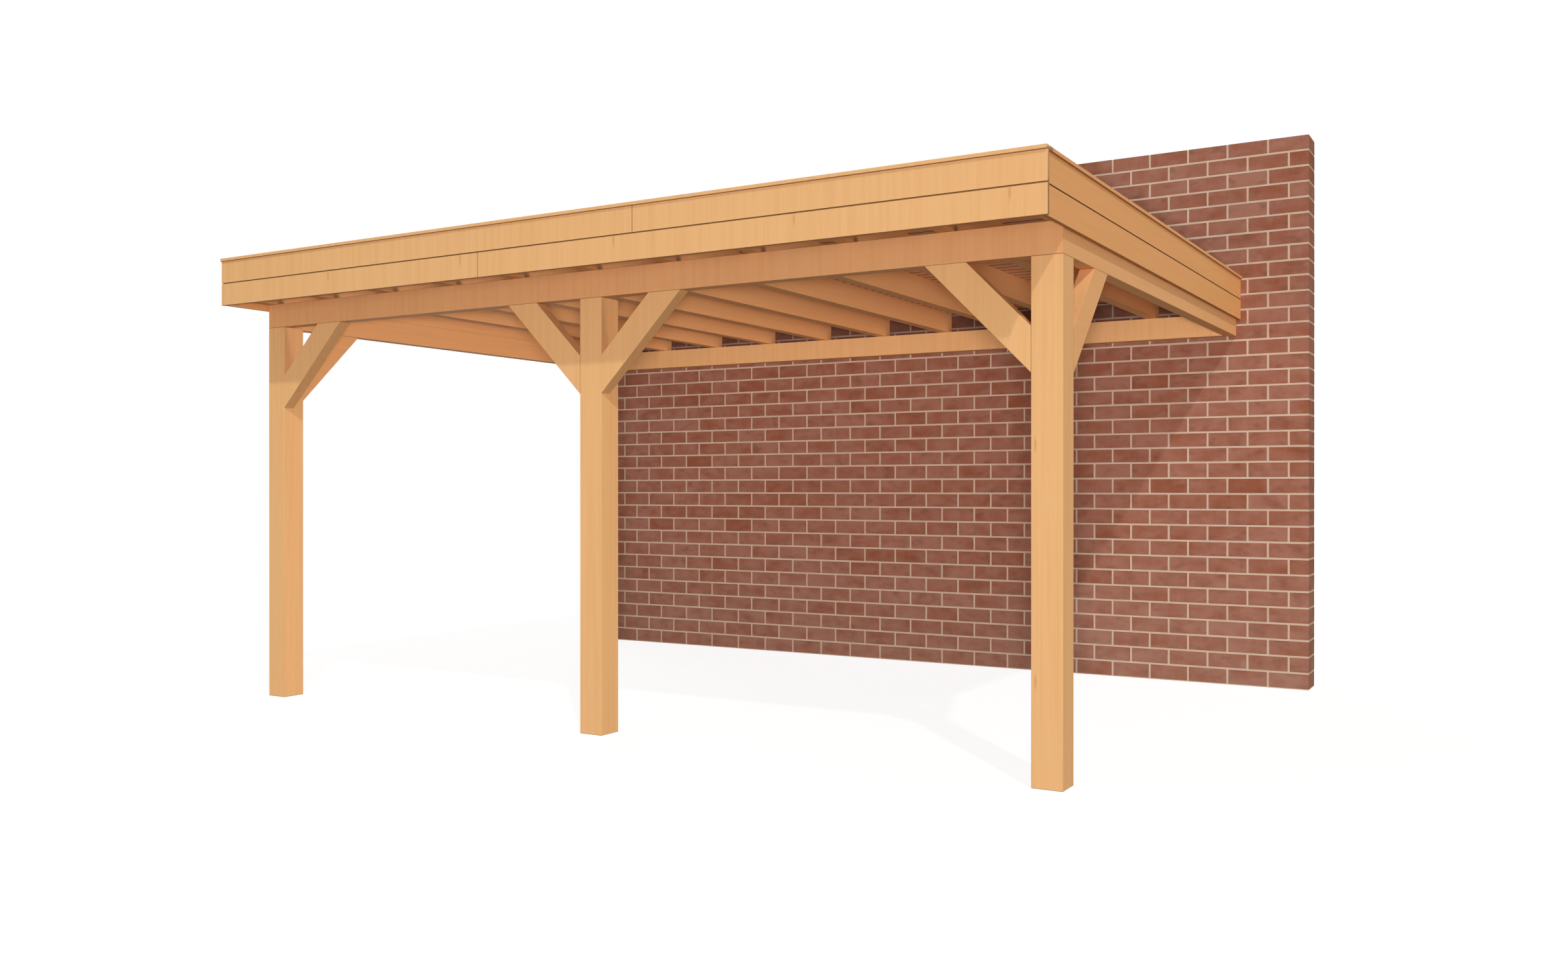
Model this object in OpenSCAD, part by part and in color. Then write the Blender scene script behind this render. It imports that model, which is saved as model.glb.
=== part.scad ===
// Flat-roofed timber veranda on three braced posts, carried at the back by a plate on a brick wall.
// +X runs along the front, +Y runs back to the wall, +Z is up.
// The origin is the middle of the middle post's foot, on the ground.

/* [Posts] */
// Side of each square post
post_w = 140; // [110:1:200]
// Distance between the post centres along the front
bay_pitch = 2445; // [1900:5:3200]
// Clear height from the ground to the underside of the ring beam
headroom = 2256; // [1900:1:2800]
// Distance from the front faces of the posts to the face of the wall
depth = 3454; // [2400:1:4500]

/* [Ring beam and wall plate] */
// Thickness of the ring beam and the wall plate
beam_t = 70; // [50:1:100]
// Height of the ring beam and the wall plate
beam_h = 140; // [100:1:220]
// Chamfer along the edges of the posts, beams, rafters, braces and trims
arris = 3; // [1:0.5:6]

/* [Braces] */
// Thickness of a brace
brace_t = 70; // [45:1:100]
// Depth of a brace, square to its slope
brace_d = 140; // [80:1:180]
// Length that the lower edge of a brace takes up on the post and on the beam
brace_leg = 495; // [320:5:800]

/* [Rafters and deck] */
// Number of rafters, the two edge rafters included
rafter_count = 11; // [7:2:15]
// Thickness of a rafter
rafter_t = 70; // [45:1:100]
// Height of a rafter
rafter_h = 140; // [100:1:220]
// Thickness of the roof boards
deck_t = 18; // [15:1:30]

/* [Roof edge] */
// Distance from the front faces of the posts to the outer face of the front fascia
front_overhang = 303; // [100:1:500]
// Width of the kerbs that stand on the roof boards
kerb_w = 38; // [25:1:70]
// Height of the kerbs above the roof boards
kerb_h = 66; // [40:1:120]
// Thickness of the roofing membrane
membrane_t = 3; // [2:0.5:6]

/* [Fascia] */
// Thickness of the fascia boards
fascia_t = 20; // [15:1:30]
// Height that each of the two fascia boards covers
fascia_h = 130; // [90:1:180]
// Width of the open groove between the two boards
groove = 5; // [2:0.5:10]
// Height of the lip that the lower board holds behind the upper board
lip_h = 10; // [4:1:25]
// Room above the lip
lip_clearance = 1; // [0.5:0.5:3]
// Gap between the ends of two front boards
butt_gap = 2; // [1:0.5:5]
// Number of rafters from the middle rafter to the one that carries a butt joint
joint_step = 1; // [1:1:2]
// Thickness of the packing between an edge rafter and the side fascia
packing_t = 8; // [4:1:30]
// Height of that packing
packing_h = 100; // [40:1:100]

/* [Trim] */
// Width of the trim that caps the roof edge
trim_w = 72; // [60:1:120]
// Thickness of the trim
trim_t = 18; // [12:1:30]
// Distance that the trim stands out past the fascia
trim_proud = 10; // [0:1:25]

/* [Wall] */
// Height of the brick wall
wall_h = 3500; // [2900:5:5000]
// Thickness of the brick wall
wall_t = 217; // [100:1:400]
// Length of wall beyond the outer face of the left post
wall_past_left = 287; // [60:1:1500]
// Length of wall beyond the outer face of the right post
wall_past_right = 442; // [60:1:1500]

/* [Hidden] */
function rafter_name(index) = str("rafter_", index < 9 ? "0" : "", index + 1);

// Colours of the planed timber, the boards, the roofing and the brick
timber = "#D9A468";
board = "#E0AE74";
roofing = "#2B2B2D";
brick = "#9A5A4A";

// Plan: the outer faces of the frame, the front faces and the wall's face
frame_w = 2 * bay_pitch + post_w;
half_w = frame_w / 2;
front_y = -post_w / 2;
wall_y = front_y + depth;
fascia_y = front_y - front_overhang;
rafter_y = fascia_y + fascia_t;
rafter_len = wall_y - rafter_y;
rafter_pitch = (frame_w - rafter_t) / (rafter_count - 1);
side_in = half_w + packing_t;
side_out = side_in + fascia_t;
roof_half = side_out + trim_proud;

// Levels, from the ring beam up to the trim
beam_z = headroom;
rafter_z = beam_z + beam_h;
deck_z = rafter_z + rafter_h;
kerb_z = deck_z + deck_t;
trim_z = kerb_z + kerb_h;
upper_z = trim_z - fascia_h;
lower_z = upper_z - fascia_h;

// Length by which a cutting block passes the face that it cuts
past = 10;

// Section of a planed bar with chamfered edges, one corner at the origin
module planed_section(w, h) {
    polygon([
        [arris, 0], [w - arris, 0], [w, arris], [w, h - arris],
        [w - arris, h], [arris, h], [0, h - arris], [0, arris]
    ]);
}

// Turns a section into a length that runs along +X: the section's width lies on Y and its height on Z
module along_x(len) {
    rotate([90, 0, 90]) linear_extrude(len) children();
}

// Turns a section into a length that runs along +Y: the section's width lies on X and its height on Z
module along_y(len) {
    translate([0, len, 0]) rotate([90, 0, 0]) linear_extrude(len) children();
}

// Draws its child on the right for side 1, or mirrored to the left for side -1
module on_side(side) {
    mirror([side < 0 ? 1 : 0, 0, 0]) children();
}

// Post whose centre stands a number of bays from the middle post
module post(bay) {
    color(timber) translate([bay * bay_pitch - post_w / 2, -post_w / 2, 0])
        linear_extrude(headroom) planed_section(post_w, post_w);
}

// Waste beside the mitre line of the right front corner: on its back side for the front beam,
// or on its front side for the side beam
module mitre_waste(back) {
    reach = beam_t + past;
    corner = back ? [past, reach] : [-reach, -past];
    translate([half_w, front_y, beam_z - past]) linear_extrude(beam_h + 2 * past)
        polygon([[past, -past], corner, [-reach, reach]]);
}

// Front member of the ring beam, mitred at both corners
module front_beam() {
    color(timber) difference() {
        translate([-half_w, front_y, beam_z]) along_x(frame_w) planed_section(beam_t, beam_h);
        for (side = [-1, 1]) on_side(side) mitre_waste(true);
    }
}

// Side member of the ring beam, mitred at the front and butted to the wall
module side_beam(side) {
    color(timber) on_side(side) difference() {
        translate([half_w - beam_t, front_y, beam_z]) along_y(depth) planed_section(beam_t, beam_h);
        mitre_waste(false);
    }
}

// Plate on the wall's face, between the side beams
module wall_plate() {
    plate_len = frame_w - 2 * beam_t;
    color(timber) translate([-plate_len / 2, wall_y - beam_t, beam_z])
        along_x(plate_len) planed_section(beam_t, beam_h);
}

// Brace at 45 degrees with its post's face on x = 0 and its beam's underside on z = 0, rising along +X
module brace() {
    spare = brace_d + past;
    slope_len = brace_leg * sqrt(2) + 2 * spare;
    block = brace_leg + 2 * spare;
    color(timber) difference() {
        translate([0, 0, -brace_leg]) rotate([0, -45, 0]) translate([-spare, 0, 0])
            along_x(slope_len) planed_section(brace_t, brace_d);
        translate([-block, -past, -block - spare]) cube([block, brace_t + 2 * past, 2 * block]);
        translate([-past, -past, 0]) cube([block + past, brace_t + 2 * past, block]);
    }
}

// Brace in the front plane, from the post a number of bays from the middle, towards direction 1 or -1
module front_brace(bay, direction) {
    translate([bay * bay_pitch + direction * post_w / 2, front_y, beam_z])
        mirror([direction < 0 ? 1 : 0, 0, 0]) brace();
}

// Brace in a side plane, from a corner post back to the side beam
module side_brace(side) {
    on_side(side) translate([half_w, post_w / 2, beam_z]) rotate([0, 0, 90]) brace();
}

// Rafter counted from the left edge, from the front fascia back to the wall
module rafter(index) {
    color(timber) translate([-half_w + index * rafter_pitch, rafter_y, rafter_z])
        along_y(rafter_len) planed_section(rafter_t, rafter_h);
}

// Roof boards, as one slab on the rafters
module roof_deck() {
    color(board) translate([-side_in, rafter_y, deck_z]) cube([2 * side_in, rafter_len, deck_t]);
}

// Kerbs that stand on the roof boards and carry the trim
module kerb_front() {
    color(timber) translate([-side_in, rafter_y, kerb_z]) cube([2 * side_in, kerb_w, kerb_h]);
}

module kerb_side(side) {
    color(timber) on_side(side) translate([side_in - kerb_w, rafter_y + kerb_w, kerb_z])
        cube([kerb_w, rafter_len - kerb_w, kerb_h]);
}

// Roofing sheet on the boards, turned up the kerbs and the wall
module roof_membrane() {
    half = side_in - kerb_w;
    len = rafter_len - kerb_w;
    color(roofing) translate([0, rafter_y + kerb_w, kerb_z]) difference() {
        translate([-half, 0, 0]) cube([2 * half, len, kerb_h]);
        translate([membrane_t - half, membrane_t, membrane_t])
            cube([2 * (half - membrane_t), len - 2 * membrane_t, kerb_h]);
    }
}

// Section of the lower fascia board, outer face on x = 0, with a lip behind the upper board
module lower_board_section() {
    face_h = fascia_h - groove / 2;
    lip_top = fascia_h + groove / 2 + lip_h;
    polygon([
        [0, 0], [fascia_t, 0], [fascia_t, lip_top],
        [fascia_t / 2, lip_top], [fascia_t / 2, face_h], [0, face_h]
    ]);
}

// Section of the upper fascia board, outer face on x = 0, rebated at the back over the lip
module upper_board_section() {
    face_z = groove / 2;
    rebate_top = face_z + lip_h + lip_clearance;
    polygon([
        [0, face_z], [fascia_t / 2, face_z], [fascia_t / 2, rebate_top],
        [fascia_t, rebate_top], [fascia_t, fascia_h], [0, fascia_h]
    ]);
}

// Front board from the roof's end to the butt joint on a rafter counted from the middle one
module front_board(side, z, joint_rafter) {
    joint_x = joint_rafter * rafter_pitch + side * butt_gap / 2;
    start = side < 0 ? -roof_half : joint_x;
    end = side < 0 ? joint_x : roof_half;
    color(board) translate([start, fascia_y, z]) along_x(end - start) children();
}

// Side board from the front fascia back to the wall
module side_board(side, z) {
    color(board) on_side(-side) translate([-side_out, rafter_y, z]) along_y(rafter_len) children();
}

// Packing between the edge rafter and the side fascia
module fascia_packing(side) {
    color(timber) on_side(side) translate([half_w, rafter_y, deck_z - packing_h])
        cube([packing_t, rafter_len, packing_h]);
}

// Trim along the front, over the full width of the roof
module trim_front() {
    color(board) translate([-roof_half, fascia_y - trim_proud, trim_z])
        along_x(2 * roof_half) planed_section(trim_w, trim_t);
}

// Trim along a side, from the back of the front trim to the wall
module trim_side(side) {
    start = fascia_y - trim_proud + trim_w;
    color(board) on_side(side) translate([roof_half - trim_w, start, trim_z])
        along_y(wall_y - start) planed_section(trim_w, trim_t);
}

// Brick wall that carries the plate
module brick_wall() {
    color(brick) translate([-half_w - wall_past_left, wall_y, 0])
        cube([wall_past_left + frame_w + wall_past_right, wall_t, wall_h]);
}

post(-1);  // post_left
post(0);  // post_middle
post(1);  // post_right
front_beam();
side_beam(-1);  // side_beam_left
side_beam(1);  // side_beam_right
wall_plate();
front_brace(-1, 1);  // brace_left_front
front_brace(0, -1);  // brace_middle_left
front_brace(0, 1);  // brace_middle_right
front_brace(1, -1);  // brace_right_front
side_brace(-1);  // brace_left_side
side_brace(1);  // brace_right_side
for (index = [0 : rafter_count - 1])
    rafter(index);
roof_deck();
roof_membrane();
kerb_front();
kerb_side(-1);  // kerb_left
kerb_side(1);  // kerb_right
fascia_packing(-1);  // fascia_packing_left
fascia_packing(1);  // fascia_packing_right
front_board(-1, lower_z, -joint_step) lower_board_section();  // front_fascia_lower_left
front_board(1, lower_z, -joint_step) lower_board_section();  // front_fascia_lower_right
front_board(-1, upper_z, joint_step) upper_board_section();  // front_fascia_upper_left
front_board(1, upper_z, joint_step) upper_board_section();  // front_fascia_upper_right
side_board(-1, lower_z) lower_board_section();  // left_fascia_lower
side_board(-1, upper_z) upper_board_section();  // left_fascia_upper
side_board(1, lower_z) lower_board_section();  // right_fascia_lower
side_board(1, upper_z) upper_board_section();  // right_fascia_upper
trim_front();
trim_side(-1);  // trim_left
trim_side(1);  // trim_right
brick_wall();
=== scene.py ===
"""Looks of a flat-roofed timber veranda on three braced posts, carried at the back by a brick wall.

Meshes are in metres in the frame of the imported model: +X runs along the front, +Y runs back to the
wall, +Z is up, and the origin is the middle of the middle post's foot. Size fields are millimetres.
"""

import logging
import math
from dataclasses import dataclass, field
from enum import Enum

import bpy
import numpy as np
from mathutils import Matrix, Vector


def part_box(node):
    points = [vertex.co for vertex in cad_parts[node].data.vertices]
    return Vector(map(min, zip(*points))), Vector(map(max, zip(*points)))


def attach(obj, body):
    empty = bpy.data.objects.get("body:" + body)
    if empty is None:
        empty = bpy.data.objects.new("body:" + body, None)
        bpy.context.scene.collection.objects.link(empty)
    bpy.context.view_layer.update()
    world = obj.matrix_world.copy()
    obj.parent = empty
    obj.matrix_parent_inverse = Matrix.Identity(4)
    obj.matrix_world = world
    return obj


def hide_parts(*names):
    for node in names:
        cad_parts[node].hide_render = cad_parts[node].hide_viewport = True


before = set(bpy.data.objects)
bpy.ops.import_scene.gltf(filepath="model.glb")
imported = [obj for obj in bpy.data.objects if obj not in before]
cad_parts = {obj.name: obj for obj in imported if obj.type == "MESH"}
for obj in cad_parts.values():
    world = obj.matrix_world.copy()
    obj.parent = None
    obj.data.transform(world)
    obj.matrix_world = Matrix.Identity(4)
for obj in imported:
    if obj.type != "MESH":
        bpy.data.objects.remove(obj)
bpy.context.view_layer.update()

Array = np.ndarray
Light = bpy.types.Light
Material = bpy.types.Material
Materials = dict[str, Material]
Node = bpy.types.Node
Piece = bpy.types.Object
Socket = bpy.types.NodeSocket
Tree = bpy.types.NodeTree
log = logging.getLogger("veranda")

MM = 0.001
BODY = "root"
SEED = 7
X_AXIS, Y_AXIS, Z_AXIS = np.eye(3)
# Points closer than this, in metres, are one point
SAME_POINT = 1e-9
# Slope of an end across and up its section, for a length that is cut at 45 degrees or left square
SQUARE_CUT = (0.0, 0.0)
MITRE_START, MITRE_END = (1.0, 0.0), (-1.0, 0.0)
BRACE_FOOT, BRACE_HEAD = (0.0, 1.0), (0.0, -1.0)
# Usual size of the easing at an end
END_EASE = 1.5
# The four rings at an end, from the end's middle: eases drawn in, eases along, and two ways to darken
RING_IN = (2.0, 1.0, 0.0, 0.0)
RING_ALONG = (0.0, 0.0, 1.0, 2.0)
END_LINE = (0.0, 1.0, 1.0, 0.0)
END_FACE = (1.0, 1.0, 0.0, 0.0)
# Painted shade of an underside, and the full painted shade of a packing's or a trim's underside and of a V
# joint
PAINTED_UNDERSIDE_SHADE = 0.38
FULL_PAINTED_SHADE = 1.0
# Numbers that tell pieces apart, so that each has its own noise
PIECE_NUMBERS = 100.0
PIECE_STEP = 0.618
# Places of the colour sockets on a Mix node
MIX_BELOW, MIX_ABOVE, MIX_COLOUR = 6, 7, 2
# Energy with which a near lamp of level 1 shows a white face as white
NEAR_ENERGY = 4 * math.pi**2
# Where the photograph was taken from, in millimetres
CAMERA_PLACE = (4282.96, -5362.7, 1269.3)


class Side(Enum):
    """Side of the veranda, seen from the front."""

    LEFT = -1
    RIGHT = 1


class Fibre(Enum):
    """World axis that the fibres of a piece follow, so the axis that its streaks run along."""

    FRONTWAYS = 0
    SIDEWAYS = 1
    UPRIGHT = 2


class Slot(Enum):
    """Material slots of the record."""

    PLANED = "planed_timber"
    FASCIA = "fascia_timber"
    BOARDS = "roof_boards"
    ROOFING = "roofing_sheet"
    BRICK = "brickwork"


# Surfaces


@dataclass
class Surface:
    """Points, faces and per-point values of one mesh."""

    points: Array
    faces: list[list[int]]
    values: dict[str, Array] = field(default_factory=dict)


@dataclass(frozen=True)
class Lie:
    """How a length of timber lies: the corner it starts from and its three directions."""

    corner: Array
    along: Array
    across: Array
    up: Array

    @classmethod
    def along_front(cls, low: Array) -> "Lie":
        """Lie of a length along the front, from its lowest corner."""
        return cls(low, X_AXIS, Y_AXIS, Z_AXIS)

    @classmethod
    def along_side(cls, low: Array, high: Array, side: Side) -> "Lie":
        """Lie of a length that runs back along a side, its section measured from the outer face.

        Args:
            low: Lowest corner of the length.
            high: Highest corner of the length.
            side: Side of the veranda.

        Returns:
            The lie.
        """
        outer = low[0] if side is Side.LEFT else high[0]
        return cls(np.array([outer, low[1], low[2]]), Y_AXIS, -side.value * X_AXIS, Z_AXIS)

    def turns_left(self) -> bool:
        """True where the three directions make a left-handed set, so faces have to be turned."""
        return float(np.dot(np.cross(self.along, self.across), self.up)) < 0


def node_box(node: str) -> tuple[Array, Array]:
    """Lowest and highest corner of a CAD node.

    Args:
        node: Name of the node.

    Returns:
        The two corners as arrays, in metres.
    """
    low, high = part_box(node)
    return np.array(low), np.array(high)


def eased_outline(corners: list[tuple[float, float]], radii: list[float], steps: int = 3) -> Array:
    """Closed outline with eased corners.

    Each corner C of radius r becomes the curve (1-t)(1-t) A + 2t(1-t) C + t t B, where A and B lie r
    away from C on its two sides. A corner of radius 0 stays one point.

    Args:
        corners: Corners of the outline, anticlockwise, in millimetres.
        radii: Radius at each corner, in millimetres.
        steps: Number of straight steps round each corner.

    Returns:
        Points of the outline, in metres.
    """
    tip = np.array(corners)[:, None] * MM
    reach = np.array(radii)[:, None, None] * MM
    before = np.roll(tip, 1, axis=0) - tip
    after = np.roll(tip, -1, axis=0) - tip
    start = tip + reach * before / np.linalg.norm(before, axis=2, keepdims=True)
    end = tip + reach * after / np.linalg.norm(after, axis=2, keepdims=True)
    t = np.linspace(0, 1, steps + 1)[None, :, None]
    curve = ((1 - t) ** 2 * start + 2 * t * (1 - t) * tip + t**2 * end).reshape(-1, 2)
    gap = np.linalg.norm(curve - np.roll(curve, 1, axis=0), axis=1)
    return curve[gap > SAME_POINT]


def bar_outline(width: float, height: float, radius: float) -> Array:
    """Rectangle with eased corners, its first corner at the origin.

    Args:
        width: Width across, in millimetres.
        height: Height, in millimetres.
        radius: Radius of the four arrises, in millimetres.

    Returns:
        Points of the outline, in metres.
    """
    return eased_outline([(0, 0), (width, 0), (width, height), (0, height)], [radius] * 4)


def lofted(rings: Array, turned: bool) -> Surface:
    """Closed solids, each a skin through a stack of rings with flat ends.

    Args:
        rings: Points of shape (solids, rings, points of a ring, 3).
        turned: True where the rings run clockwise about their path, so faces are turned over.

    Returns:
        The solids as one surface.
    """
    index = np.arange(rings[..., 0].size).reshape(rings.shape[:3])
    ahead = np.roll(index, -1, axis=2)
    quads = np.stack([index[:, :-1], ahead[:, :-1], ahead[:, 1:], index[:, 1:]], axis=-1)
    quads = quads.reshape(-1, 4)
    ends = np.concatenate([index[:, 0, ::-1], index[:, -1]])
    if turned:
        quads, ends = quads[:, ::-1], ends[:, ::-1]
    return Surface(rings.reshape(-1, 3), quads.tolist() + ends.tolist())


def timber_length(
    outline: Array,
    lie: Lie,
    length: float,
    start_cut: tuple[float, float] = SQUARE_CUT,
    end_cut: tuple[float, float] = SQUARE_CUT,
    ease: float = END_EASE,
    painted_shade: Array | None = None,
    painted_face_shades: tuple[Array | None, Array | None] = (None, None),
) -> Surface:
    """Outline carried along a straight path, with eased and square or slanting ends.

    P = corner + t along + a across + h up for each outline point (a, h). The ends lie at
    t = (a, h) . start_cut and t = length + (a, h) . end_cut. Each end has four rings: the outline
    drawn in by two eases and by one, both on the end, then the whole outline one ease and two eases
    along. The two middle rings carry the dark line that shows where pieces meet.

    Args:
        outline: Points (a, h) of the section, in metres.
        lie: Corner and directions of the length.
        length: Length along the corner's own edge, in metres.
        start_cut: Slope of the first end across and up the section.
        end_cut: Slope of the last end across and up the section.
        ease: Size of the easing at the ends, in millimetres.
        painted_shade: Painted shade of each outline point along the whole length, or None.
        painted_face_shades: Painted shade of the first and the last end's face at each outline point, in
            place of the
        dark line, or None.

    Returns:
        The length as a closed surface.
    """
    low, high = outline.min(axis=0), outline.max(axis=0)
    middle = (low + high) / 2
    eases = np.array(RING_IN)[:, None, None] * ease * MM
    start = middle + (outline - middle) * (1 - 2 * eases / (high - low))
    sections = np.concatenate([start, start[::-1]])
    short = np.array(RING_ALONG)[:, None] * ease * MM
    starts = start @ np.array(start_cut) + short
    ends = length + start[::-1] @ np.array(end_cut) - short[::-1]
    t = np.concatenate([starts, ends])[..., None]
    points = lie.corner + t * lie.along + sections[..., :1] * lie.across + sections[..., 1:] * lie.up
    timber = lofted(points[None], lie.turns_left())
    lines = np.outer(END_LINE, np.ones(len(outline)))
    first, last = (lines if painted_darkness is None else np.outer(END_FACE, painted_darkness) for painted_darkness in painted_face_shades)
    dark = np.concatenate([first, last[::-1]])
    # The dark lines where pieces meet, with the painted shade over them
    timber.values["joint"] = (dark if painted_shade is None else np.maximum(dark, painted_shade)).ravel()
    return timber


def painted_underside_shade(outline: Array, radius: float, darkness: float) -> Array:
    """Painted shade of a section's underside, up to the middle of its lower arrises.

    Args:
        outline: Points (a, h) of the section, in metres.
        radius: Radius of its arrises, in millimetres.
        darkness: Darkness of the underside.

    Returns:
        Darkness of each outline point.
    """
    return np.where(outline[:, 1] < radius / 2 * MM, darkness, 0.0)


def straight_bar(
    node: str, fibre: Fibre, radius: float, ease: float = END_EASE, underside: float = 0.0
) -> Surface:
    """Square-ended bar that fills a node's box along one axis.

    Args:
        node: CAD node whose box the bar fills.
        fibre: Axis that the bar runs along.
        radius: Radius of its arrises, in millimetres.
        ease: Size of the easing at its ends, in millimetres.
        underside: Painted shade of its underside.

    Returns:
        The bar as a closed surface.
    """
    low, high = node_box(node)
    axis = fibre.value
    others = [other for other in range(3) if other != axis]
    along, across, up = np.eye(3)[[axis, *others]]
    size = (high - low) / MM
    outline = bar_outline(size[others[0]], size[others[1]], radius)
    lie = Lie(low, along, across, up)
    painted_shade = painted_underside_shade(outline, radius, underside)
    return timber_length(outline, lie, size[axis] * MM, ease=ease, painted_shade=painted_shade)


# Finishes


def linear(code: str) -> tuple[float, float, float, float]:
    """Linear colour of an sRGB hex value.

    Args:
        code: Colour such as "#E6B57D".

    Returns:
        Red, green, blue and an alpha of 1.
    """
    toe, slope, offset, power = 0.04045, 12.92, 0.055, 2.4
    value = np.array([int(code[i : i + 2], 16) for i in (1, 3, 5)]) / 255
    value = np.where(value <= toe, value / slope, ((value + offset) / (1 + offset)) ** power)
    return (*value.tolist(), 1.0)


def add_node(tree: Tree, kind: str, inputs: dict[int | str, object], **settings: object) -> Node:
    """Adds a node with its settings, values and links.

    Args:
        tree: Node tree that gets the node.
        kind: Node type without the word ShaderNode.
        inputs: Value or source socket for each input.
        **settings: Properties of the node.

    Returns:
        The node.
    """
    node = tree.nodes.new("ShaderNode" + kind)
    for name, value in settings.items():
        setattr(node, name, value)
    for name, value in inputs.items():
        if isinstance(value, Socket):
            tree.links.new(value, node.inputs[name])
        else:
            node.inputs[name].default_value = value
    return node


def new_material(name: str) -> tuple[Material, Tree]:
    """Empty node material.

    Args:
        name: Name of the real material.

    Returns:
        The material and its node tree.
    """
    material = bpy.data.materials.new(name)
    material.use_nodes = True
    material.node_tree.nodes.clear()
    return material, material.node_tree


@dataclass(frozen=True)
class Pattern:
    """A noise that is drawn out along one axis: the size of its blotches, and how much of it shows."""

    width: float
    length: float
    detail: float
    low: float = 0.0
    high: float = 1.0
    share: float = 1.0

    def noise(self, tree: Tree, fibre: Fibre) -> Socket:
        """Noise that is different on each piece.

        Args:
            tree: Node tree of the material.
            fibre: Axis that the blotches are drawn out along.

        Returns:
            Socket with the noise, about 0 to 1.
        """
        sizes = np.where(np.arange(3) == fibre.value, self.length, self.width) * MM
        place = add_node(tree, "TexCoord", {}).outputs["Object"]
        piece = add_node(tree, "Attribute", {}, attribute_name="piece").outputs["Fac"]
        scaled = add_node(tree, "Mapping", {"Vector": place, "Scale": tuple(1 / sizes)}).outputs[0]
        inputs = {"Vector": scaled, "W": piece, "Scale": 1.0, "Detail": self.detail}
        return add_node(tree, "TexNoise", inputs, noise_dimensions="4D").outputs["Fac"]

    def shown(self, tree: Tree, noise: Socket) -> Socket:
        """Share that the noise gives: none up to low, all of the share from high on, with soft ends.

        Args:
            tree: Node tree of the material.
            noise: The pattern's noise.

        Returns:
            Socket with the share.
        """
        inputs = {"Value": noise, "From Min": self.low, "From Max": self.high, "To Max": self.share}
        return add_node(tree, "MapRange", inputs, interpolation_type="SMOOTHSTEP").outputs[0]


@dataclass(frozen=True)
class Finish:
    """A real material: its two colours, its shine, and the depth of its fine relief."""

    name: str
    base: str
    shade: str
    roughness: float
    sheen: float = 0.1
    relief: float = 0.15
    # Colour and share of the painted shade on the strip of wall under the roof, between the rafters
    painted_attic_colour: str = "#2A1812"
    painted_attic_share: float = 0.0

    def build(self) -> Material:
        """Makes the node material."""
        raise NotImplementedError

    def axes(self, tree: Tree) -> list[Socket]:
        """Sockets with the X, Y and Z of a point, in metres."""
        place = add_node(tree, "TexCoord", {}).outputs["Object"]
        return list(add_node(tree, "SeparateXYZ", {"Vector": place}).outputs)

    def painted_attic_shade(self, tree: Tree) -> Socket:
        """Share of painted shade on the strip of wall between the rafters, under the roof.

        The strip is a box: the length of the wall plate, the front of the wall, and from behind the
        plate up to the top of the roof boards. A point p is in it where |p - middle| <= half its size.

        Args:
            tree: Node tree of the material.

        Returns:
            Socket with the share of painted shade.
        """
        low, high = node_box("wall_plate")
        top = node_box("roof_deck")[1]
        first = np.array([low[0], low[1], (low[2] + high[2]) / 2])
        last = np.array([high[0], 2 * high[1] - low[1], top[2]])
        share = self.painted_attic_share
        for value, middle, half in zip(self.axes(tree), (first + last) / 2, (last - first) / 2):
            inside = add_node(tree, "Math", {0: value, 1: middle, 2: half}, operation="COMPARE").outputs[0]
            share = add_node(tree, "Math", {0: inside, 1: share}, operation="MULTIPLY").outputs[0]
        return share

    def surface(self, tree: Tree, layers: list[tuple[Socket, str]], height: Socket) -> None:
        """Makes the shader: the base colour, with the colour of each layer over it by its share.

        Args:
            tree: Node tree of the material.
            layers: Share and colour of each layer, the lowest first.
            height: Socket with the height of the relief, from 0 to 1.
        """
        colour = linear(self.base)
        # Painted shade on the strip of wall under the roof goes over all other layers
        dust = [(self.painted_attic_shade(tree), self.painted_attic_colour)] if self.painted_attic_share else []
        for share, code in layers + dust:
            inputs = {0: share, MIX_BELOW: colour, MIX_ABOVE: linear(code)}
            colour = add_node(tree, "Mix", inputs, data_type="RGBA").outputs[MIX_COLOUR]
        depth = {"Strength": 1.0, "Distance": self.relief * MM}
        bump = add_node(tree, "Bump", {"Height": height, **depth}).outputs[0]
        shine = {"Roughness": self.roughness, "Specular IOR Level": self.sheen}
        shader = add_node(tree, "BsdfPrincipled", {"Base Color": colour, "Normal": bump, **shine})
        add_node(tree, "OutputMaterial", {"Surface": shader.outputs[0]})


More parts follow.
